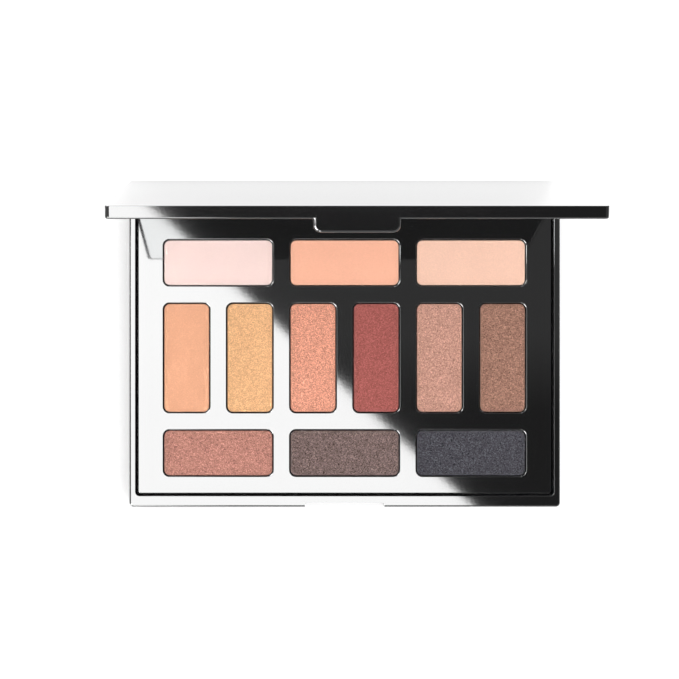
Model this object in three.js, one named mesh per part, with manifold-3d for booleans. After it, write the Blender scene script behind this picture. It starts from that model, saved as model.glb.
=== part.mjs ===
// Eyeshadow palette with twelve pans and a hinged mirror lid.
// Millimetres. +X right, +Y towards the hinge, +Z up. The origin is the centre of the base's underside.
import * as THREE from 'three';
import { mergeVertices } from 'three/addons/utils/BufferGeometryUtils.js';
import Module from 'manifold-3d';

const wasm = await Module();
wasm.setup();

// case
const caseWidth = 130;
const caseDepth = 95;
const baseHeight = 9;
const floorThickness = 1.8;
const sideWall = 1.85;
const frontWall = 3.3;
const railDepth = 6.2;
const caseCorner = 1.2;
const caseEdge = 0.35;

// lid, mirror and thumb tab
const lidThickness = 3.4;
const closedGap = 0.1;
const mirrorBorder = 0.9;
const mirrorFrontBorder = 1.3;
const mirrorBackBorder = 11;
const mirrorThickness = 1.1;
const mirrorCorner = 1.5;
const adhesiveThickness = 0.2;
const adhesiveInset = 2;
const mirrorClearance = 0.15;
const layerGap = 0.05;
const tabWidth = 22.6;
const tabThickness = 1;
const tabDrop = 3.6;
const tabCorner = 2;
const tabSideClearance = 0.75;
const tabBackClearance = 0.2;
const catchRadius = 0.35;
const catchLength = 9;
const catchProud = 0.12;
const catchRise = 1.1;
const catchClearance = 0.2;

// hinge
const hingeInset = 2.8;
const hingeDrop = 2.8;
const pinRadius = 0.8;
const boreClearance = 0.07;
const pinInset = 0.6;
const pinEndClearance = 0.3;
const lugEngagement = 5.5;
const barrelRadius = 2.1;
const knuckleWidth = 14;
const knuckleOffset = 11;
const knuckleSideClearance = 0.3;
const pocketClearance = 0.35;
const webBack = 0.8;
const openLimit = 120;
const stopGap = 0.12;
const restAngle = 80.5;

// tray
const trayGap = 0.8;
const trayRecess = 0.5;
const trayPlate = 1.2;
const trayEdge = 0.25;
const trayWall = 1;
const cupWall = 0.8;
const cupFloor = 1.2;

// wells, pans and powders
const wellShort = 14.2;
const wellCorner = 1.95;
const wellWeb = 4.9;
const rowGap = 5;
const gridFront = 5;
const panClearance = 0.2;
const panWall = 0.2;
const panHeight = 4.6;
const padThickness = 0.15;
const padInset = 2;
const powderClearance = 0.05;
const powderRecess = 0.15;
const powderEdge = 0.2;

const roundSides = 24;
const cornerSteps = 2;
const overshoot = 2;

// heights and lines that follow from the sizes above
const trayTop = baseHeight - trayRecess;
const wellFloor = floorThickness + cupFloor;
const panBottom = wellFloor + padThickness;
const panTop = panBottom + panHeight;
const cavityFront = -caseDepth / 2 + frontWall;
const cavityBack = caseDepth / 2 - railDepth;
const trayFront = cavityFront + trayGap;
const trayBack = cavityBack - trayGap;
const trayWidth = caseWidth - 2 * sideWall - 2 * trayGap;
const hingeY = caseDepth / 2 - hingeInset;
const hingeZ = baseHeight - hingeDrop;
const boreRadius = pinRadius + boreClearance;
const openAngle = THREE.MathUtils.degToRad(openLimit);

// A rounded rectangle centred on the origin.
function roundedRectangle(width, depth, radius) {
  const x = width / 2 - radius;
  const y = depth / 2 - radius;
  const shape = new THREE.Shape();
  shape.absarc(x, y, radius, 0, Math.PI / 2);
  shape.absarc(-x, y, radius, Math.PI / 2, Math.PI);
  shape.absarc(-x, -y, radius, Math.PI, 1.5 * Math.PI);
  shape.absarc(x, -y, radius, 1.5 * Math.PI, 2 * Math.PI);
  return shape;
}

// A closed straight-sided outline through the points.
function polygon(points) {
  return new THREE.Shape(points.map(([u, v]) => new THREE.Vector2(u, v)));
}

// A geometry whose shared corners are merged becomes a solid.
function toSolid(geometry) {
  const bare = geometry.clone();
  bare.deleteAttribute('normal');
  bare.deleteAttribute('uv');
  const merged = mergeVertices(bare, 1e-4);
  return new wasm.Manifold(new wasm.Mesh({
    numProp: 3,
    vertProperties: merged.attributes.position.array,
    triVerts: new Uint32Array(merged.index.array),
  }));
}

function toGeometry(solid) {
  const mesh = solid.getMesh();
  const geometry = new THREE.BufferGeometry();
  geometry.setAttribute('position', new THREE.BufferAttribute(mesh.vertProperties, 3));
  geometry.setIndex(new THREE.BufferAttribute(mesh.triVerts, 1));
  const flat = geometry.toNonIndexed();
  flat.computeVertexNormals();
  return flat;
}

// A flat slab with an upright rounded outline, its top and bottom edges bevelled by edge.
function slab(width, depth, radius, bottom, top, { x = 0, y = 0, edge = 0 } = {}) {
  const geometry = new THREE.ExtrudeGeometry(roundedRectangle(width, depth, radius), {
    depth: top - bottom - 2 * edge,
    curveSegments: cornerSteps,
    bevelEnabled: edge > 0,
    bevelThickness: edge,
    bevelSize: edge,
    bevelOffset: -edge,
    bevelSegments: 1,
  });
  geometry.translate(x, y, bottom + edge);
  return toSolid(geometry);
}

// A prism along X from its outline in Y and Z.
function prismAlongX(shape, start, end) {
  const geometry = new THREE.ExtrudeGeometry(shape, {
    depth: end - start,
    curveSegments: 8,
    bevelEnabled: false,
  });
  geometry.rotateX(Math.PI / 2);
  geometry.rotateZ(Math.PI / 2);
  geometry.translate(start, 0, 0);
  return toSolid(geometry);
}

// A plate whose outline lies in X and Z, from the line front to the line back along Y.
function plateAlongY(shape, front, back) {
  const geometry = new THREE.ExtrudeGeometry(shape, {
    depth: back - front,
    curveSegments: 3,
    bevelEnabled: false,
  });
  geometry.rotateX(Math.PI / 2);
  geometry.translate(0, back, 0);
  return toSolid(geometry);
}

// A round bar along X.
function rod(radius, start, end, y, z) {
  const geometry = new THREE.CylinderGeometry(radius, radius, end - start, roundSides);
  geometry.rotateZ(Math.PI / 2);
  geometry.translate((start + end) / 2, y, z);
  return toSolid(geometry);
}

// The same span along X on the right side or mirrored to the left side.
function span(side, near, far) {
  return side > 0 ? [near, far] : [-far, -near];
}

const palette = new THREE.Group();
const lid = new THREE.Group();
lid.position.set(0, hingeY, hingeZ);
lid.rotation.x = -THREE.MathUtils.degToRad(restAngle);
palette.add(lid);

function addPiece(group, name, solid, colour, roughness, metalness) {
  const material = new THREE.MeshStandardMaterial({ color: colour, roughness, metalness });
  const mesh = new THREE.Mesh(toGeometry(solid), material);
  mesh.name = name;
  group.add(mesh);
}

// Wells: a back and a front row lying along X, and a middle row of the same wells turned by 90 degrees.
const wellLong = 2 * wellShort + wellWeb;
const wellPitch = wellShort + wellWeb;
const frontRowY = trayFront + gridFront + wellShort / 2;
const rowPitch = wellShort / 2 + rowGap + wellLong / 2;
const rows = [
  { name: 'back', count: 3, pitch: 2 * wellPitch, sizeX: wellLong, sizeY: wellShort, y: frontRowY + 2 * rowPitch },
  { name: 'middle', count: 6, pitch: wellPitch, sizeX: wellShort, sizeY: wellLong, y: frontRowY + rowPitch },
  { name: 'front', count: 3, pitch: 2 * wellPitch, sizeX: wellLong, sizeY: wellShort, y: frontRowY },
];
const wells = [];
for (const row of rows) {
  for (let i = 0; i < row.count; i += 1) {
    const x = (i - (row.count - 1) / 2) * row.pitch;
    wells.push({ name: `${row.name}_${i + 1}`, x, y: row.y, sizeX: row.sizeX, sizeY: row.sizeY });
  }
}

// A slab that follows a well's outline, drawn in by inset.
function inWell(well, inset, bottom, top, edge = 0) {
  const radius = Math.max(wellCorner - inset, 0.5);
  const place = { x: well.x, y: well.y, edge };
  return slab(well.sizeX - 2 * inset, well.sizeY - 2 * inset, radius, bottom, top, place);
}

// Hinge stations along X, measured on the right side.
const knuckleEnd = caseWidth / 2 - knuckleOffset;
const knuckleStart = knuckleEnd - knuckleWidth;
const pocketStart = knuckleStart - knuckleSideClearance;
const pocketEnd = knuckleEnd + knuckleSideClearance;
const pinStart = pocketStart - lugEngagement;
const pinEnd = caseWidth / 2 - pinInset;

// How far the lid's web reaches below the axis, at the back face, when the lid is fully open.
const webReach = (webBack - hingeInset * Math.cos(openAngle)) / Math.sin(openAngle);
const pocketFloor = hingeZ - Math.max(barrelRadius, webReach) - pocketClearance;

// Closed lid, measured from the hinge axis.
const lidBottom = hingeDrop + closedGap;
const lidTop = lidBottom + lidThickness;
const lidFront = hingeInset - caseDepth;
const lidCentre = hingeInset - caseDepth / 2;
const tabInner = lidFront + tabThickness;
const catchY = tabInner + catchProud - catchRadius;
const catchZ = lidBottom - tabDrop + catchRise;

// Base case: an open box with a solid hinge rail along its back.
const notchDepth = tabThickness + tabBackClearance;
const notchWidth = tabWidth + 2 * tabSideClearance;
let baseCase = slab(caseWidth, caseDepth, caseCorner, 0, baseHeight, { edge: caseEdge });
const cavityDepth = cavityBack - cavityFront;
const cavityMiddle = (cavityFront + cavityBack) / 2;
baseCase = baseCase.subtract(
  slab(caseWidth - 2 * sideWall, cavityDepth, caseCorner, floorThickness, baseHeight + overshoot, { y: cavityMiddle }),
);
baseCase = baseCase.subtract(
  slab(notchWidth, 2 * notchDepth, 0.75, -overshoot, baseHeight + overshoot, { y: -caseDepth / 2 }),
);
const grooveY = hingeY + catchY;
const grooveZ = hingeZ + catchZ;
const grooveEnd = catchLength / 2 + catchClearance;
baseCase = baseCase.subtract(
  rod(catchRadius + catchClearance, -grooveEnd, grooveEnd, grooveY, grooveZ),
);

// The rail's top back edge is a quarter round about the hinge axis.
const quarterRound = new THREE.Shape();
quarterRound.moveTo(hingeY, baseHeight);
quarterRound.absarc(hingeY, hingeZ, hingeInset, Math.PI / 2, 0, true);
quarterRound.lineTo(hingeY + hingeInset + overshoot, hingeZ);
quarterRound.lineTo(hingeY + hingeInset + overshoot, baseHeight + overshoot);
quarterRound.lineTo(hingeY, baseHeight + overshoot);
const halfCut = caseWidth / 2 + overshoot;
baseCase = baseCase.subtract(prismAlongX(quarterRound, -halfCut, halfCut));
const pocketOutline = polygon([
  [hingeY - barrelRadius - pocketClearance, pocketFloor],
  [caseDepth / 2 + overshoot, pocketFloor],
  [caseDepth / 2 + overshoot, baseHeight + overshoot],
  [hingeY - barrelRadius - pocketClearance, baseHeight + overshoot],
]);
for (const side of [-1, 1]) {
  baseCase = baseCase.subtract(prismAlongX(pocketOutline, ...span(side, pocketStart, pocketEnd)));
  const boreSpan = span(side, pinStart - pinEndClearance, caseWidth / 2 + overshoot);
  baseCase = baseCase.subtract(rod(boreRadius, ...boreSpan, hingeY, hingeZ));
}
addPiece(palette, 'base_case', baseCase, '#141416', 0.08, 0);

// Shade tray: a plate with a skirt and twelve cups that stand on the case floor.
const trayDepth = trayBack - trayFront;
const trayMiddle = (trayFront + trayBack) / 2;
let tray = slab(trayWidth, trayDepth, 0.8, floorThickness, trayTop, { y: trayMiddle, edge: trayEdge });
const hollowWidth = trayWidth - 2 * trayWall;
const hollowDepth = trayDepth - 2 * trayWall;
const plateUnderside = trayTop - trayPlate;
tray = tray.subtract(
  slab(hollowWidth, hollowDepth, 0.5, floorThickness - overshoot, plateUnderside, { y: trayMiddle }),
);
for (const well of wells) {
  tray = tray.add(inWell(well, -cupWall, floorThickness, plateUnderside + trayPlate / 2));
}
for (const well of wells) {
  tray = tray.subtract(inWell(well, 0, wellFloor, trayTop + overshoot));
}
addPiece(palette, 'shade_tray', tray, '#161618', 0.08, 0);

// Pads, pans and powders.
const powderColours = {
  back_1: ['#f9ddd6', 0.95],
  back_2: ['#f9ba9e', 0.85],
  back_3: ['#f5c9b3', 0.85],
  middle_1: ['#f5b591', 0.95],
  middle_2: ['#eeb988', 0.6],
  middle_3: ['#e39e85', 0.55],
  middle_4: ['#a9605a', 0.8],
  middle_5: ['#c79786', 0.6],
  middle_6: ['#9f7767', 0.6],
  front_1: ['#c38a7b', 0.5],
  front_2: ['#7d6a66', 0.5],
  front_3: ['#4f4e54', 0.5],
};
const powderInset = panClearance + panWall + powderClearance;
for (const well of wells) {
  const pad = inWell(well, panClearance + padInset, wellFloor, panBottom);
  addPiece(palette, `pad_${well.name}`, pad, '#e9e5dc', 0.9, 0);
  const shell = inWell(well, panClearance, panBottom, panTop);
  const inside = inWell(well, panClearance + panWall, panBottom + panWall, panTop + overshoot);
  addPiece(palette, `pan_${well.name}`, shell.subtract(inside), '#b9babc', 0.35, 1);
  const powder = inWell(well, powderInset, panBottom + panWall, panTop - powderRecess, powderEdge);
  const [colour, roughness] = powderColours[well.name];
  addPiece(palette, `powder_${well.name}`, powder, colour, roughness, 0);
}

// Hinge pins, pressed into the rail from the sides of the case.
for (const [side, name] of [[-1, 'hinge_pin_left'], [1, 'hinge_pin_right']]) {
  const pin = rod(pinRadius, ...span(side, pinStart, pinEnd), hingeY, hingeZ);
  addPiece(palette, name, pin, '#c4c5c8', 0.25, 1);
}

// Lid: a plate with a mirror recess, a stop bevel along its back edge, the tab and two knuckles.
const mirrorWidth = caseWidth - 2 * mirrorBorder;
const mirrorFront = lidFront + mirrorFrontBorder;
const mirrorBack = hingeInset - mirrorBackBorder;
const mirrorDepth = mirrorBack - mirrorFront;
const mirrorMiddle = (mirrorFront + mirrorBack) / 2;
const recessDepth = 3 * layerGap + adhesiveThickness + mirrorThickness;
let lidCase = slab(caseWidth, caseDepth, caseCorner, lidBottom, lidTop, { y: lidCentre, edge: caseEdge });
lidCase = lidCase.subtract(
  slab(
    mirrorWidth + 2 * mirrorClearance,
    mirrorDepth + 2 * mirrorClearance,
    mirrorCorner + mirrorClearance,
    lidBottom - overshoot,
    lidBottom + recessDepth,
    { y: mirrorMiddle },
  ),
);

// The bevel meets the base's back wall at the end of the opening.
const stopLine = hingeInset + stopGap;
const bevelY = (z) => (stopLine - z * Math.sin(openAngle)) / Math.cos(openAngle);
const bevelTopZ = (stopLine - (hingeInset + overshoot) * Math.cos(openAngle)) / Math.sin(openAngle);
const stopBevel = polygon([
  [bevelY(lidBottom - 1), lidBottom - 1],
  [hingeInset + overshoot, lidBottom - 1],
  [hingeInset + overshoot, bevelTopZ],
]);
lidCase = lidCase.subtract(prismAlongX(stopBevel, -halfCut, halfCut));

const tabTop = lidBottom + lidThickness / 2;
const tabLow = lidBottom - tabDrop;
const tabShape = new THREE.Shape();
tabShape.moveTo(tabWidth / 2, tabTop);
tabShape.lineTo(-tabWidth / 2, tabTop);
tabShape.lineTo(-tabWidth / 2, tabLow + tabCorner);
tabShape.absarc(-tabWidth / 2 + tabCorner, tabLow + tabCorner, tabCorner, Math.PI, 1.5 * Math.PI);
tabShape.absarc(tabWidth / 2 - tabCorner, tabLow + tabCorner, tabCorner, 1.5 * Math.PI, 2 * Math.PI);
lidCase = lidCase.add(plateAlongY(tabShape, lidFront, tabInner));
lidCase = lidCase.add(rod(catchRadius, -catchLength / 2, catchLength / 2, catchY, catchZ));

const knuckleOutline = new THREE.Shape();
knuckleOutline.moveTo(-barrelRadius, lidBottom + lidThickness / 2);
knuckleOutline.lineTo(-barrelRadius, 0);
knuckleOutline.absarc(0, 0, barrelRadius, Math.PI, 2 * Math.PI + Math.acos(webBack / barrelRadius));
knuckleOutline.lineTo(webBack, lidBottom + lidThickness / 2);
for (const side of [-1, 1]) {
  const knuckleSpan = span(side, knuckleStart, knuckleEnd);
  const boreSpan = span(side, knuckleStart - overshoot, knuckleEnd + overshoot);
  lidCase = lidCase.add(prismAlongX(knuckleOutline, ...knuckleSpan));
  lidCase = lidCase.subtract(rod(boreRadius, ...boreSpan, 0, 0));
}
addPiece(lid, 'lid_case', lidCase, '#141416', 0.08, 0);

// Mirror and the adhesive sheet behind it.
const adhesiveTop = lidBottom + recessDepth - layerGap;
const adhesiveBottom = adhesiveTop - adhesiveThickness;
const mirrorTop = adhesiveBottom - layerGap;
const adhesive = slab(
  mirrorWidth - 2 * adhesiveInset,
  mirrorDepth - 2 * adhesiveInset,
  mirrorCorner,
  adhesiveBottom,
  adhesiveTop,
  { y: mirrorMiddle },
);
addPiece(lid, 'mirror_adhesive', adhesive, '#e9e5dc', 0.9, 0);
const mirror = slab(mirrorWidth, mirrorDepth, mirrorCorner, mirrorTop - mirrorThickness, mirrorTop, { y: mirrorMiddle });
addPiece(lid, 'lid_mirror', mirror, '#e6eaec', 0.02, 1);

export default palette;
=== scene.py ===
import math
import bmesh
import bpy
import numpy as np
from mathutils.geometry import tessellate_polygon
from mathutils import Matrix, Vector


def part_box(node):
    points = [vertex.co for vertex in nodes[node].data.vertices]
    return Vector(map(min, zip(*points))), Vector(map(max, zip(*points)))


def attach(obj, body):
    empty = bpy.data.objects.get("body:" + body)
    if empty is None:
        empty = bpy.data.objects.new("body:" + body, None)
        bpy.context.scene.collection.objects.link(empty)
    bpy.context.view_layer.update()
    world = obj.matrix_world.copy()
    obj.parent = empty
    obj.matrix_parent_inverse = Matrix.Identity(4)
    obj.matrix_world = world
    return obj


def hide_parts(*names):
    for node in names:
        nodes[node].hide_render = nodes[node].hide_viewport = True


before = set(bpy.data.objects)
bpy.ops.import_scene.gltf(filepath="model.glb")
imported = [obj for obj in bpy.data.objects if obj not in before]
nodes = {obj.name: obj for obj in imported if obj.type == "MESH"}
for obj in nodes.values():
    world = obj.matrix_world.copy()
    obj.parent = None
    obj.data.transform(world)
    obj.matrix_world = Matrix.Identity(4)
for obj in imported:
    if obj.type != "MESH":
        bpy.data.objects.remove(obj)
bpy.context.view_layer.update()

mm = 0.001
scene = bpy.context.scene
scene.view_settings.view_transform = "Standard"


# sRGB eight-bit colour to the linear colour a shader takes
def paint(red, green, blue):
    share = np.array([red, green, blue]) / 255
    linear = np.where(share > 0.04045, ((share + 0.055) / 1.055) ** 2.4, share / 12.92)
    return (*linear.tolist(), 1.0)


# ---- camera, looking straight down
camera = {"place": (-21.7, -8.0, 609.0), "lens": 105.4, "shift": (0.0982, 0.0536)}
lens = bpy.data.cameras.new("camera")
lens.lens = camera["lens"]
lens.shift_x, lens.shift_y = camera["shift"]
lens.clip_start = 0.01
viewer = bpy.data.objects.new("camera", lens)
viewer.location = [value * mm for value in camera["place"]]
scene.collection.objects.link(viewer)
scene.camera = viewer


# One output of a shader node. Arithmetic on it adds Math nodes.
class Wire:
    def __init__(self, tree, socket=None):
        self.tree = tree
        self.socket = socket

    # a node of the kind, its settings first, then the values or wires of its inputs
    def add(self, kind, settings=None, inputs=None, output=0):
        node = self.tree.nodes.new(kind)
        for key, value in (settings or {}).items():
            if key == "stops":
                ramp = node.color_ramp.elements
                for index, (position, tone) in enumerate(value):
                    stop = ramp[index] if index < 2 else ramp.new(position)
                    stop.position = position
                    stop.color = (tone, tone, tone, 1) if np.isscalar(tone) else tone
            else:
                setattr(node, key, value)
        for key, value in (inputs or {}).items():
            if isinstance(value, Wire):
                self.tree.links.new(value.socket, node.inputs[key])
            else:
                node.inputs[key].default_value = value
        return Wire(self.tree, node.outputs[output])

    def maths(self, operation, first, second=0.0, clamp=False):
        settings = {"operation": operation, "use_clamp": clamp}
        return self.add("ShaderNodeMath", settings, {0: first, 1: second})

    def __add__(self, other):
        return self.maths("ADD", self, other)

    def __radd__(self, other):
        return self.maths("ADD", other, self)

    def __sub__(self, other):
        return self.maths("SUBTRACT", self, other)

    def __rsub__(self, other):
        return self.maths("SUBTRACT", other, self)

    def __mul__(self, other):
        return self.maths("MULTIPLY", self, other)

    def __rmul__(self, other):
        return self.maths("MULTIPLY", other, self)

    def __truediv__(self, other):
        return self.maths("DIVIDE", self, other)

    # 0 below low, 1 above high, and an even slope between
    def step(self, low, high):
        return self.maths("MULTIPLY", self - low, 1 / (high - low), clamp=True)

    def noise(self, place, scale, detail=2.0, rough=0.5):
        inputs = {"Vector": place, "Scale": scale, "Detail": detail, "Roughness": rough}
        return self.add("ShaderNodeTexNoise", {}, inputs)

    def blend(self, share, first, second, mode="MIX"):
        settings = {"data_type": "RGBA", "blend_type": mode}
        return self.add("ShaderNodeMix", settings, {0: share, 6: first, 7: second}, output=2)

    def scaled(self, colour, share):
        return self.add("ShaderNodeVectorMath", {"operation": "SCALE"}, {0: colour, "Scale": share})

    # 1 for light that has met no matt surface, 0 once it has
    def beforeMatt(self):
        bounces = self.add("ShaderNodeLightPath", output="Diffuse Depth")
        return 1 - self.maths("MINIMUM", bounces, 1.0)

    # one part of a place or direction
    def part(self, place, axis):
        return self.add("ShaderNodeSeparateXYZ", {}, {0: place}, axis)

    def bump(self, height, strength, distance):
        inputs = {"Height": height, "Strength": strength, "Distance": distance}
        return self.add("ShaderNodeBump", {}, inputs)


# A material with a Principled shader. finish takes a wire and the object coordinates and returns
# the values or wires of the shader's inputs.
def newMaterial(name, finish):
    material = bpy.data.materials.new(name)
    material.use_nodes = True
    tree = material.node_tree
    shader = tree.nodes["Principled BSDF"]
    wire = Wire(tree)
    place = wire.add("ShaderNodeTexCoord", output="Object")
    for key, value in finish(wire, place).items():
        if isinstance(value, Wire):
            tree.links.new(value.socket, shader.inputs[key])
        else:
            shader.inputs[key].default_value = value
    return material


# ---- light: a large soft panel overhead with a slanted edge, a key light and a pale room
# Lengths are in millimetres. A slanted edge is its direction, its offset and half its soft width.
panel = {
    "height": 759.0,                           # above the table
    "half": 420.0,
    "bright": 23.0,
    "edge": (0.680, 0.7334, 6.8, 2.9),
    "front": (0.680, 0.7334, -161.1, 2.6),     # nearer than frontLine the panel ends at this edge
    "frontLine": (-118.0, -108.0),
    "nearEnd": (-200, -190),
    "left": (-185.0, -145.0),
    "low": (0.712, -0.703, 120.7, 3.0),        # the second patch, which the lid's mirror sees
    "lowTop": (-215.0, -205.0),
    "lowEnd": (-340.0, -330.0),
    "room": (0.19, 0.62),                      # how bright the ceiling is in front and at the back
    "roomSlope": (-30, 20),
}


# Glow: bright on the lit patches and dim ceiling elsewhere. A patch is the product of its soft
# sides, each a smooth step of the distance from a line. Matt surfaces are lit by the room instead.
def panelFinish(wire, place):
    x = wire.part(place, "X") / mm
    y = wire.part(place, "Y") / mm

    # 1 on the lit side of a slanted edge, falling smoothly to 0 across it
    def litSide(edge):
        across, along, offset, soft = edge
        reach = x * across + y * along - offset
        side = 1 - reach.step(-soft, soft)
        return wire.add("ShaderNodeMapRange", {"interpolation_type": "SMOOTHSTEP"}, {0: side})

    inside = x.step(*panel["left"])
    ahead = y.step(*panel["frontLine"])
    near = litSide(panel["edge"]) * wire.maths("MAXIMUM", litSide(panel["front"]), ahead)
    near = near * y.step(*panel["nearEnd"])
    far = litSide(panel["low"]) * (1 - y.step(*panel["lowTop"])) * y.step(*panel["lowEnd"])
    lit = (near + far) * inside
    dim, bright = panel["room"]
    room = y.step(*panel["roomSlope"]) * (bright - dim) + dim
    glow = (lit * panel["bright"] + room) * wire.beforeMatt()
    return {
        "Base Color": (0, 0, 0, 1),
        "Roughness": 1.0,
        "Specular IOR Level": 0.0,
        "Emission Color": wire.scaled((1.0, 1.0, 1.0), glow),
        "Emission Strength": 1.0,
    }


# A flat square that faces up or down
def flatSheet(name, half, height, facing, material):
    corners = np.array([(-1, -1), (1, -1), (1, 1), (-1, 1)])[::facing] * half * mm
    points = np.column_stack([corners, np.full(4, height * mm)])
    mesh = bpy.data.meshes.new(name)
    mesh.from_pydata(points.tolist(), [], [[0, 1, 2, 3]])
    mesh.materials.append(material)
    sheet = bpy.data.objects.new(name, mesh)
    scene.collection.objects.link(sheet)
    return sheet


panelLight = newMaterial("panelLight", panelFinish)
overhead = flatSheet("overhead_panel", panel["half"], panel["height"], -1, panelLight)
overhead.visible_camera = False
overhead.visible_shadow = False
overhead.visible_diffuse = False

table = {
    "half": 4000.0,
    "height": -0.05,
    "pale": 0.6,
    "lift": 0.42,             # how much it glows, as a lit table does
    "backGlow": 0.53,         # and how much more behind the case
    "backLine": (46.0, 54.0),
}


# Plain pale, with a glow that rises from one level to another across the back line
def tableFinish(wire, place):
    behind = (wire.part(place, "Y") / mm).step(*table["backLine"]) * table["backGlow"]
    return {
        "Base Color": (table["pale"], table["pale"], table["pale"], 1),
        "Roughness": 0.9,
        "Specular IOR Level": 0.1,
        "Emission Color": wire.scaled((1.0, 1.0, 1.0), behind + table["lift"]),
        "Emission Strength": 1.0,
    }


flatSheet("table", table["half"], table["height"], 1, newMaterial("paleTable", tableFinish))

softbox = {"size": (0.5, 0.4), "energy": 5.0, "place": (0.2, -0.55, 0.8)}
key = bpy.data.lights.new("key", "AREA")
key.shape = "RECTANGLE"
key.size, key.size_y = softbox["size"]
key.energy = softbox["energy"]
keyLamp = bpy.data.objects.new("key", key)
keyLamp.location = softbox["place"]
keyLamp.rotation_euler = keyLamp.location.to_track_quat("Z", "Y").to_euler()
keyLamp.visible_glossy = False
scene.collection.objects.link(keyLamp)

# the room: even white light, while polished surfaces see its walls, brighter on some sides, and
# two softboxes
walls = {
    "white": 0.95,            # for matt surfaces and the camera
    "pale": 0.6,              # the rest is what a polished surface sees
    "left": 0.65,
    "leftTo": (-0.6, -0.4),   # each edge is soft, in parts of a direction of length 1
    "front": 1.2,
    "frontTo": (-0.5, -0.3),
    "back": 1.9,
    "backFrom": (0.35, 0.6),
    "backTop": (0.45, 0.6),
    "frontLeft": 20.0,        # a bright strip low in front
    "stripLeft": (-0.22, -0.17),
    "stripRight": (-0.07, -0.02),
    "stripBack": (-0.55, -0.4),
    "stripTop": (0.7, 0.9),
    "boxes": 100.0,
    "boxAt": ((-0.60, -0.52, 0.61), (-0.58, 0.54, 0.61)),
    "boxEdge": (0.945, 0.97),
}
room = bpy.data.worlds.new("room")
room.use_nodes = True
wire = Wire(room.node_tree)
way = wire.add("ShaderNodeTexCoord", output="Generated")
seen = wire.add("ShaderNodeLightPath", output="Is Glossy Ray") * wire.beforeMatt()
wayX, wayY, wayZ = (wire.part(way, axis) for axis in "XYZ")
shine = wayY.step(*walls["backFrom"]) * (1 - wayZ.step(*walls["backTop"])) * walls["back"]
shine = shine + walls["pale"]
shine = shine + (1 - wayX.step(*walls["leftTo"])) * walls["left"]
shine = shine + (1 - wayY.step(*walls["frontTo"])) * walls["front"]
strip = (1 - wayX.step(*walls["stripRight"])) * wayX.step(*walls["stripLeft"])
strip = strip * (1 - wayY.step(*walls["stripBack"])) * (1 - wayZ.step(*walls["stripTop"]))
shine = shine + strip * walls["frontLeft"]
for toward in walls["boxAt"]:
    facing = {0: way, 1: toward}
    facing = wire.add("ShaderNodeVectorMath", {"operation": "DOT_PRODUCT"}, facing, "Value")
    shine = shine + facing.step(*walls["boxEdge"]) * walls["boxes"]
strength = seen * (shine - walls["white"]) + walls["white"]
backdrop = room.node_tree.nodes["Background"]
backdrop.inputs["Color"].default_value = (1, 1, 1, 1)
room.node_tree.links.new(strength.socket, backdrop.inputs["Strength"])
scene.world = room
print("light and camera ready")

# ---- finishes
gloss = {
    "tone": 0.0035,
    "rough": 0.025,
    "smudge": 0.03,
    "matt": 0.55,              # added to the roughness inside the case
    "deep": (7.7, 8.0),        # the matt part lies below this, and between these walls
    "side": (63.3, 63.5),
    "frontWall": (-44.6, -44.4),
    "backWall": (41.5, 41.7),
}


# Polished outside, with a little roughness from smudges, and matt from the mould low down inside
# the walls: a product of one step for each wall
def blackGloss(inner):
    def finish(wire, place):
        smudge = wire.noise(place, 45, 4, 0.6)
        fine = wire.noise(place, 900, 2, 0.5)
        rough = smudge * gloss["smudge"] + gloss["rough"]
        if inner:
            across, along, up = (wire.part(place, axis) / mm for axis in "XYZ")
            matt = 1 - up.step(*gloss["deep"])
            matt = matt * (1 - wire.maths("ABSOLUTE", across).step(*gloss["side"]))
            matt = matt * along.step(*gloss["frontWall"]) * (1 - along.step(*gloss["backWall"]))
            rough = rough + matt * gloss["matt"]
        tone = gloss["tone"]
        return {
            "Base Color": (tone, tone, tone * 1.05, 1),
            "Roughness": rough,
            "IOR": 1.5,
            "Normal": wire.bump(fine, 0.04, 0.00002),
        }
    return finish


caseBlack = newMaterial("caseBlack", blackGloss(True))
trayBlack = newMaterial("trayBlack", blackGloss(True))
lidBlack = newMaterial("lidBlack", blackGloss(False))


# Fine lines along the metal, from noise stretched 30 times, in its tone, roughness and height
def brushed(tone, rough):
    def finish(wire, place):
        stretched = wire.add("ShaderNodeMapping", {}, {"Vector": place, "Scale": (1, 30, 30)})
        lines = wire.noise(stretched, 260, 3, 0.6)
        return {
            "Base Color": wire.scaled(tone, lines * 0.16 + 0.92),
            "Metallic": 1.0,
            "Roughness": lines * 0.16 + rough - 0.08,
            "Normal": wire.bump(lines, 0.08, 0.00002),
        }
    return finish


tinMetal = newMaterial("tinMetal", brushed((0.66, 0.66, 0.67), 0.3))
pinSteel = newMaterial("pinSteel", brushed((0.55, 0.55, 0.56), 0.26))


# Near-perfect silver with a faint haze
def silvering(wire, place):
    haze = wire.noise(place, 60, 3, 0.6)
    return {
        "Base Color": (0.86, 0.88, 0.88, 1),
        "Metallic": 1.0,
        "Roughness": haze * 0.02 + 0.004,
    }


# Cream tape with a fibrous noise in its tone and height
def tapeFinish(wire, place):
    fibre = wire.noise(place, 1600, 3, 0.6)
    return {
        "Base Color": wire.scaled((0.78, 0.75, 0.68), fibre * 0.2 + 0.9),
        "Roughness": 0.85,
        "Normal": wire.bump(fibre, 0.3, 0.00005),
    }


mirrorSilver = newMaterial("mirrorSilver", silvering)
tape = newMaterial("tape", tapeFinish)

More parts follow.
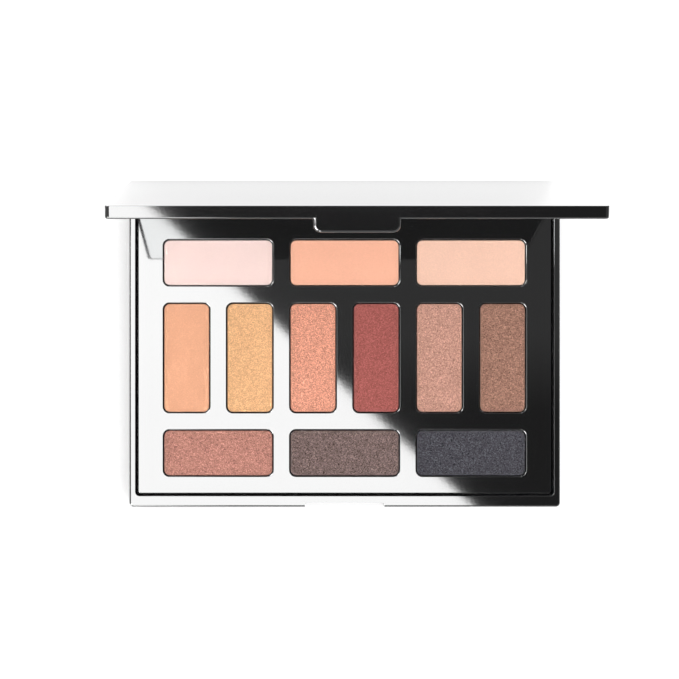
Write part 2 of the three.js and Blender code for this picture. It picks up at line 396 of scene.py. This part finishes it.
# shade, its colour, and how strongly it glitters
shades = {
    "back_1": ((249, 221, 214), 0.04),
    "back_2": ((249, 186, 158), 0.1),
    "back_3": ((245, 201, 179), 0.13),
    "middle_1": ((245, 181, 145), 0.16),
    "middle_2": ((238, 185, 136), 0.7),
    "middle_3": ((227, 158, 133), 1.2),
    "middle_4": ((168, 95, 89), 0.9),
    "middle_5": ((198, 150, 133), 1.15),
    "middle_6": ((156, 117, 101), 1.5),
    "front_1": ((200, 142, 127), 1.3),
    "front_2": ((125, 106, 102), 2.0),
    "front_3": ((77, 76, 82), 2.0),
}
powder = {
    # painted light: each row's powder colour is scaled by its own level, the back row painted
    # lighter to make up for the lid's shade and the front row darker where the key lights it more
    "light": {"back": 0.85, "middle": 0.725, "front": 0.595},     # the lid shades the back row
    "grain": 5200,
    "flake": 4700,
    # how much paler the cake is towards its rim
    "rimPale": 0.3,
    "darkest": 0.12,
}


# The shade times a level: 1, plus fine grain and a faint cloudiness, plus single flakes that are
# lighter or darker than the rest, with a paler band where the cake runs over the tin's rim
def pressedPowder(row, colour, glitter):
    # the shade's colour times its row's painted light level
    tone = np.array(paint(*colour)[:3]) * powder["light"][row]
    pale = np.minimum(tone * 1.35 + 0.03, 0.95)

    def finish(wire, place):
        grain = wire.noise(place, powder["grain"], 2, 0.6)
        cloud = wire.noise(place, 110, 3, 0.55)
        spread = {"Vector": place, "Scale": powder["flake"]}
        cells = wire.add("ShaderNodeTexVoronoi", {}, spread, "Color")
        pick = wire.add("ShaderNodeSeparateColor", {}, {0: cells}, "Red")
        flake = pick.step(0.62, 1.0)
        hollow = 1 - pick.step(0.0, 0.25)
        level = (grain - 0.5) * (0.12 + 0.8 * glitter) + (cloud - 0.5) * 0.06 + 1
        level = level + (flake * 0.62 - hollow * 0.42) * glitter
        level = wire.maths("MAXIMUM", level, powder["darkest"])
        rim = wire.add("ShaderNodeAttribute", {"attribute_name": "rim"}, output="Fac")
        body = wire.scaled(tuple(tone), level)
        return {
            "Base Color": wire.blend(rim * powder["rimPale"], body, (*pale.tolist(), 1)),
            "Roughness": 0.85 - flake * 0.3,
            "Metallic": flake * 0.1,
            "Specular IOR Level": 0.03,
            "Normal": wire.bump(grain, 0.2, 0.00006),
        }
    return finish


powderFinish = {
    name: newMaterial(f"powder_{name}", pressedPowder(name.split("_")[0], *look))
    for name, look in shades.items()
}


# ---- shapes
# A mesh piece from points in millimetres, its faces, and a normal for each point
def makePiece(name, shape, material, body, slot, *replaced):
    points, faces, normals = shape
    mesh = bpy.data.meshes.new(name)
    mesh.from_pydata((np.asarray(points) * mm).tolist(), [], faces)
    mesh.materials.append(material)
    mesh.polygons.foreach_set("use_smooth", np.ones(len(mesh.polygons), bool))
    mesh.update()
    mesh.normals_split_custom_set_from_vertices(normals.tolist())
    piece = bpy.data.objects.new(name, mesh)
    scene.collection.objects.link(piece)
    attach(piece, body)
    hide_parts(*replaced)
    return piece


# A profile's normal at each point: square to the parts on its two sides, the longer counting most.
# The first and the last stand upright, as ends says.
def profileNormals(reach, height, ends):
    run, rise = np.diff(reach), np.diff(height)
    length = np.hypot(run, rise)
    part = np.stack([rise, -run], -1) * length[:, None] ** 2
    normal = np.zeros((len(reach), 2))
    normal[:-1] += part
    normal[1:] += part
    normal[0], normal[-1] = (0, ends[0]), (0, ends[1])
    return (normal / np.linalg.norm(normal, axis=1)[:, None]).T


# Rounded rectangles drawn in by each inset and lifted to each height: corner centre plus radius
# times (cos, sin) of an angle that runs a quarter turn at each corner. A normal leans out along
# (cos, sin) as far as the profile's does.
def roundedRings(centre, width, depth, radius, insets, heights, steps=8, ends=(-1, 1)):
    insets, heights = np.asarray(insets, float), np.asarray(heights, float)
    out, up = profileNormals(-insets, heights, ends)
    insets = insets[:, None]
    turn = np.linspace(0, math.pi / 2, steps + 1)
    angle = (np.arange(4)[:, None] * math.pi / 2 + turn).ravel()
    sideX = np.repeat([1, -1, -1, 1], steps + 1)
    sideY = np.repeat([1, 1, -1, -1], steps + 1)
    bend = np.maximum(radius - insets, 0.02)
    x = centre[0] + sideX * (width / 2 - insets - bend) + bend * np.cos(angle)
    y = centre[1] + sideY * (depth / 2 - insets - bend) + bend * np.sin(angle)
    z = np.broadcast_to(heights[:, None], x.shape)
    lean = np.stack([
        out[:, None] * np.cos(angle),
        out[:, None] * np.sin(angle),
        np.broadcast_to(up[:, None], x.shape),
    ], -1)
    return np.stack([x, y, z], -1), lean


# Quads between neighbouring rings, numbered from first
def bandFaces(rings, first=0):
    count, size = rings.shape[:2]
    start = first + np.arange(count - 1)[:, None] * size
    here = np.arange(size)
    after = (here + 1) % size
    quads = [start + here, start + after, start + size + after, start + size + here]
    return np.stack(quads, -1).reshape(-1, 4).tolist()


# A closed body from its rings and their normals, its first ring capped downwards and its last
# upwards
def closedBody(rings, normals):
    size = rings.shape[1]
    last = (len(rings) - 1) * size
    caps = [list(range(size))[::-1], list(range(last, last + size))]
    return rings.reshape(-1, 3), bandFaces(rings) + caps, normals.reshape(-1, 3)


# Quarter circle from the side (inset 0) to the top (inset radius), as inset and drop below the top
def quarterRound(radius, steps=4):
    turn = np.linspace(0, math.pi / 2, steps + 1)
    return radius * (1 - np.cos(turn)), radius * (1 - np.sin(turn))


# Centre, width, depth, bottom and top of a node's box, in millimetres
def measure(node):
    low, high = (np.array(corner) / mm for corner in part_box(node))
    return (low + high)[:2] / 2, high[0] - low[0], high[1] - low[1], low[2], high[2]


# ---- shade tray: a plate with twelve wells, every opening and the outer edge rounded over
tray = {
    "corner": 0.8,
    "edge": 0.16,
    "wellGap": 0.13,
    "wellCorner": 1.9,
    "wellEdge": 0.24,
    "wellFloorEdge": 0.3,
}


# Rings up the outside, rings down each well, and a flat top: the outline with the wells' openings
# cut out, filled by triangles that all turn the same way
def buildTray():
    centre, width, depth, bottom, top = measure("shade_tray")
    inset, drop = quarterRound(tray["edge"])
    outer, lean = roundedRings(
        centre, width, depth, tray["corner"],
        [0.25, 0, *inset], [bottom, bottom + 0.25, *(top - drop)],
    )
    size = outer.shape[1]
    points, normals = [outer.reshape(-1, 3)], [lean.reshape(-1, 3)]
    faces = bandFaces(outer) + [list(range(size))[::-1]]
    loops = [outer[-1]]
    marks = [np.arange(size) + (len(outer) - 1) * size]
    total = outer.shape[0] * size
    for name in shades:
        middle, sizeX, sizeY, floor, _ = measure(f"pan_{name}")
        padFloor = measure(f"pad_{name}")[3]
        over, sink = quarterRound(tray["wellEdge"])
        lowOver, lowSink = quarterRound(tray["wellFloorEdge"], 3)
        rings, lean = roundedRings(
            middle, sizeX + 2 * tray["wellGap"], sizeY + 2 * tray["wellGap"], tray["wellCorner"],
            [*-over[::-1], *lowOver],
            [*(top - sink[::-1]), *(padFloor + lowSink)],
            ends=(1, 1),
        )
        points.append(rings.reshape(-1, 3))
        normals.append(lean.reshape(-1, 3))
        faces += bandFaces(rings, total)
        last = total + (len(rings) - 1) * size
        faces.append(list(range(last, last + size)))
        loops.append(rings[0][::-1])
        marks.append((np.arange(size) + total)[::-1])
        total += rings.shape[0] * size
    marks = np.concatenate(marks)
    flat = tessellate_polygon([[tuple(point) for point in loop] for loop in loops])
    flat = marks[np.array(flat)]
    points, normals = np.concatenate(points), np.concatenate(normals)
    a, b, c = (points[flat[:, k], :2] for k in range(3))
    turn = (b - a)[:, 0] * (c - a)[:, 1] - (b - a)[:, 1] * (c - a)[:, 0]
    flat[turn < 0] = flat[turn < 0][:, ::-1]
    faces += flat.tolist()
    shape = (points, faces, normals)
    return makePiece("tray_plate", shape, trayBlack, "base", "tray_black", "shade_tray")


buildTray()

# ---- pans and pressed powders: a thin drawn tin, and a cake that is pressed over its rim
tin = {"corner": 1.7, "wall": 0.2, "slack": 0.1}
cake = {"slack": 0.14}
for name in shades:
    centre, width, depth, bottom, top = measure(f"pan_{name}")
    wall, slack = tin["wall"], tin["slack"]
    shell = roundedRings(
        centre, width - 2 * slack, depth - 2 * slack, tin["corner"],
        [0.6, 0.18, 0.05, 0, 0, 0.03, 0.1, wall - 0.03, wall, wall, wall + 0.1, wall + 0.4],
        [bottom, bottom + 0.03, bottom + 0.12, bottom + 0.3, top - 0.1, top - 0.03, top,
         top - 0.03, top - 0.1, bottom + 0.5, bottom + 0.28, bottom + 0.2],
        6,
    )
    makePiece(f"tin_{name}", closedBody(*shell), tinMetal, "base", "pan_metal", f"pan_{name}")
    slack = cake["slack"]
    block = roundedRings(
        centre, width - 2 * slack, depth - 2 * slack, tin["corner"],
        [0.6, 0.3, 0.25, 0.03, 0, 0.03, 0.12, 0.28, 0.5, 0.8, 1.3],
        np.array([0.25 - (top - bottom), 0.4 - (top - bottom), -0.06, 0.01, 0.05, 0.11, 0.155,
                  0.17, 0.16, 0.14, 0.13]) + top,
        6,
    )
    node = f"powder_{name}"
    pressed = makePiece(f"cake_{name}", closedBody(*block), powderFinish[name], "base", node, node)
    rimShare = np.repeat([0, 0, 0.4, 1, 1, 1, 0.75, 0.35, 0.1, 0, 0], block[0].shape[1])
    rim = pressed.data.attributes.new("rim", "FLOAT", "POINT")
    rim.data.foreach_set("value", rimShare.astype(np.float32))
print("tray, tins and powders made")

# ---- lid pieces are laid out closed, measured from the hinge line, then turned open
hinge = {"y": 44.7, "z": 6.2, "open": 80.5}


# (y, z) turned back by the opening angle, from the given place
def turnOpen(rows, place):
    angle = -math.radians(hinge["open"])
    y, z = rows[..., 1], rows[..., 2]
    return np.stack([
        rows[..., 0],
        place[0] + y * math.cos(angle) - z * math.sin(angle),
        place[1] + y * math.sin(angle) + z * math.cos(angle),
    ], -1)


mirror = {
    "width": 128.2,
    "front": -90.9,
    "back": -8.2,
    "face": 2.95,
    "thick": 1.1,
    "corner": 1.5,
    "bevel": 0.16,
}
face, thick, front, back = (mirror[part] for part in ("face", "thick", "front", "back"))
pane = roundedRings(
    (0, (front + back) / 2), mirror["width"], back - front, mirror["corner"],
    [mirror["bevel"], mirror["bevel"] - 0.05, 0.03, 0, 0, 0.1],
    [face, face + 0.005, face + 0.1, face + 0.14, face + thick - 0.1, face + thick],
)
panePoints, paneFaces, paneNormals = closedBody(*pane)
panePoints = turnOpen(panePoints, (hinge["y"], hinge["z"]))
paneShape = (panePoints, paneFaces, turnOpen(paneNormals, (0, 0)))
makePiece("mirror_pane", paneShape, mirrorSilver, "lid", "mirror_glass", "lid_mirror")

# ---- hinge pins
pin = {"radius": 0.8, "chamfer": 0.22, "dimple": 0.28, "sides": 32}


# A profile of (along, radius) turned round the hinge line, with a dimple in its outer end
def buildPin(name, side):
    low, high = (np.array(corner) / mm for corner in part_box(name))
    inner, outer = (low[0], high[0]) if side > 0 else (high[0], low[0])
    length = abs(outer - inner)
    r, c, d = pin["radius"], pin["chamfer"], pin["dimple"]
    along = np.array([0, c, length - c, length - 0.04, length, length, length - 0.2])
    radius = np.array([r - c, r, r, r - c + 0.05, r - c, d, 0.04])
    out, forward = profileNormals(radius, along, (-1, 1))
    angle = np.linspace(0, 2 * math.pi, pin["sides"], endpoint=False) * side
    wave = np.stack([np.cos(angle), np.sin(angle)])
    y, z = radius[:, None] * wave[:, None] + np.array([hinge["y"], hinge["z"]])[:, None, None]
    x = np.broadcast_to((inner + side * along)[:, None], y.shape)
    lean = np.stack([
        np.broadcast_to(side * forward[:, None], y.shape),
        out[:, None] * wave[0],
        out[:, None] * wave[1],
    ], -1)
    rings = np.stack([x, y, z], -1)
    makePiece(f"{name}_rod", closedBody(rings, lean), pinSteel, "base", "pin_steel", name)


buildPin("hinge_pin_left", -1)
buildPin("hinge_pin_right", 1)


# ---- case and lid: the moulded shapes with their edges rounded over
moulding = {
    "merge": {"base": 0.08, "lid": 0.002},     # points nearer than this are joined first
    "flat": 0.6,                 # degrees within which faces count as one
    "sharp": 0.6,                # edges that turn by more than this many radians are rounded
    "edge": 0.15,                # how wide, and wider round the thumb tab
    "tabRim": 0.75,
    "steps": 3,
    "shortest": 0.25,            # edges that stay sharp: the shortest ones,
    "catch": (8.5, 9.6),         # the long edges of the catch, by their length,
    "hollow": 20,                # inner corners of the lid longer than this,
    "boreClear": 1.25,           # those this near the hinge line on the lid,
    "railClear": 3.0,            # those this near it on the case,
    "notchBack": -45.5,          # and those round the notch in the case
    "notchHalf": 12.5,
    "lidFront": -92.2,           # the shut lid, measured from the hinge line
    "lidInside": 2.9,
    "lidTop": 6.3,
    "lidMiddle": -44.7,
    "tabSlack": (0.4, 0.1),      # how far above and below lidInside the tab's rim starts
    "lidEdge": 0.35,
    "crispEdge": 0.04,
    "near": 0.02,                # how close counts as lying on a plane
}


# (y, z) of the open lid turned by the opening angle about the hinge line, and measured from it
def turnShut(y, z):
    angle = math.radians(hinge["open"])
    y, z = y - hinge["y"], z - hinge["z"]
    return y * math.cos(angle) - z * math.sin(angle), y * math.sin(angle) + z * math.cos(angle)


# How wide to round an edge, as a share of the widest: nothing on the edges listed above or on the
# lid's outer rim, all of it round the tab, and the ordinary edge everywhere else
def roundShare(edge, onLid):
    if len(edge.link_faces) != 2 or edge.calc_face_angle() < moulding["sharp"]:
        return 0.0
    length = edge.calc_length() / mm
    middle = (edge.verts[0].co + edge.verts[1].co) / 2 / mm
    fromHinge = math.hypot(middle.y - hinge["y"], middle.z - hinge["z"])
    low, high = moulding["catch"]
    if length < moulding["shortest"] or low < length < high:
        return 0.0
    if not onLid:
        atNotch = middle.y < moulding["notchBack"] and abs(middle.x) < moulding["notchHalf"]
        onRail = fromHinge < moulding["railClear"]
        return 0.0 if atNotch or onRail else moulding["edge"] / moulding["tabRim"]
    innerCorner = not edge.is_convex and length > moulding["hollow"]
    if innerCorner or fromHinge < moulding["boreClear"]:
        return 0.0
    ends = np.array([turnShut(vert.co.y / mm, vert.co.z / mm) for vert in edge.verts])
    y, z = ends.T
    if z.min() > moulding["lidTop"] - moulding["lidEdge"]:
        return 0.0
    above, below = moulding["tabSlack"]
    inside = moulding["lidInside"]
    onTab = z.max() < inside + above and z.min() < inside - below
    onFront = abs(y - moulding["lidFront"]).max() < 0.05
    return 1.0 if onFront and onTab else moulding["edge"] / moulding["tabRim"]


# A normal for each face corner: the mean of the faces round its point that lean less than
# 'sharp' from the face itself, by area, where the rounded strips count for next to nothing
def crispNormals(mesh, rounded):
    faceCount, cornerCount = len(mesh.polygons), len(mesh.loops)
    normal = np.zeros(faceCount * 3)
    area = np.zeros(faceCount)
    size = np.zeros(faceCount, int)
    point = np.zeros(cornerCount, int)
    mesh.polygons.foreach_get("normal", normal)
    mesh.polygons.foreach_get("area", area)
    mesh.polygons.foreach_get("loop_total", size)
    mesh.loops.foreach_get("vertex_index", point)
    normal = normal.reshape(-1, 3)
    weight = area * np.where(rounded, 1e-4, 1.0)
    owner = np.repeat(np.arange(faceCount), size)
    order = np.argsort(point, kind="stable")
    sortedPoint = point[order]
    rank = np.arange(cornerCount) - np.searchsorted(sortedPoint, sortedPoint)
    around = np.full((len(mesh.vertices), rank.max() + 1), -1)
    around[sortedPoint, rank] = owner[order]
    near = around[point]
    likeness = np.einsum("ijk,ik->ij", normal[near], normal[owner])
    share = np.where((near >= 0) & (likeness > math.cos(moulding["sharp"])), weight[near], 0)
    mean = np.einsum("ij,ijk->ik", share, normal[near])
    return mean / np.linalg.norm(mean, axis=1)[:, None]


# A crisp outer rim for the lid: its outer face grows from the middle, in proportion, almost to the
# outline, and the line round its side moves up by as much
def reshapeLid(mesh):
    flat = np.zeros(len(mesh.vertices) * 3)
    mesh.vertices.foreach_get("co", flat)
    x, openY, openZ = flat.reshape(-1, 3).T / mm
    y, z = turnShut(openY, openZ)
    middle, slope, near = moulding["lidMiddle"], moulding["lidEdge"], moulding["near"]
    halfX, halfY = x.max(), middle - moulding["lidFront"]
    top = z > moulding["lidTop"] - near
    upperLine = ~top & (z > moulding["lidTop"] - slope - near)
    grow = slope - moulding["crispEdge"]
    x = x * (1 + grow * top / halfX)
    y = middle + (y - middle) * (1 + grow * top / halfY)
    z = z + grow * upperLine
    rows = turnOpen(np.stack([x, y, z], -1), (hinge["y"], hinge["z"]))
    mesh.vertices.foreach_set("co", (rows * mm).ravel())


# The node's mesh with its doubles merged and its flat faces joined, its edges rounded by their
# share, and normals that keep the flat faces flat in a polished surface
def mouldedCopy(node, name, body, material):
    source = nodes[node].data.copy()
    if body == "lid":
        reshapeLid(source)
    shape = bmesh.new()
    shape.from_mesh(source)
    bpy.data.meshes.remove(source)
    bmesh.ops.remove_doubles(shape, verts=shape.verts, dist=moulding["merge"][body] * mm)
    flat = math.radians(moulding["flat"])
    bmesh.ops.dissolve_limit(shape, angle_limit=flat, verts=shape.verts, edges=shape.edges)
    weights = shape.edges.layers.float.new("bevel_weight_edge")
    for edge in shape.edges:
        edge[weights] = roundShare(edge, body == "lid")
    draft = bpy.data.meshes.new(name + "_draft")
    shape.to_mesh(draft)
    shape.free()
    draft.materials.clear()
    for _ in range(2):        # the second marks the rounded strips
        draft.materials.append(material)
    draft.polygons.foreach_set("material_index", np.zeros(len(draft.polygons), int))
    piece = bpy.data.objects.new(name, draft)
    scene.collection.objects.link(piece)
    rounding = piece.modifiers.new("rounding", "BEVEL")
    rounding.limit_method = "WEIGHT"
    rounding.width = moulding["tabRim"] * mm
    rounding.segments = moulding["steps"]
    rounding.use_clamp_overlap = False
    rounding.material = 1
    bpy.context.view_layer.update()
    finished = piece.evaluated_get(bpy.context.evaluated_depsgraph_get())
    mesh = bpy.data.meshes.new_from_object(finished)
    piece.modifiers.remove(rounding)
    piece.data = mesh
    mesh.name = name
    bpy.data.meshes.remove(draft)
    strip = np.zeros(len(mesh.polygons), int)
    mesh.polygons.foreach_get("material_index", strip)
    mesh.polygons.foreach_set("material_index", np.zeros(len(strip), int))
    mesh.materials.pop()
    mesh.polygons.foreach_set("use_smooth", np.ones(len(strip), bool))
    mesh.update()
    mesh.normals_split_custom_set(crispNormals(mesh, strip == 1).tolist())
    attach(piece, body)
    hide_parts(node)
    return piece


mouldedCopy("base_case", "case_body", "base", caseBlack)
mouldedCopy("lid_case", "lid_body", "lid", lidBlack)
print("case, lid, mirror and pins made")

for name, item in nodes.items():
    if name.startswith("pad_") or name == "mirror_adhesive":
        item.data.materials.clear()
        item.data.materials.append(tape)
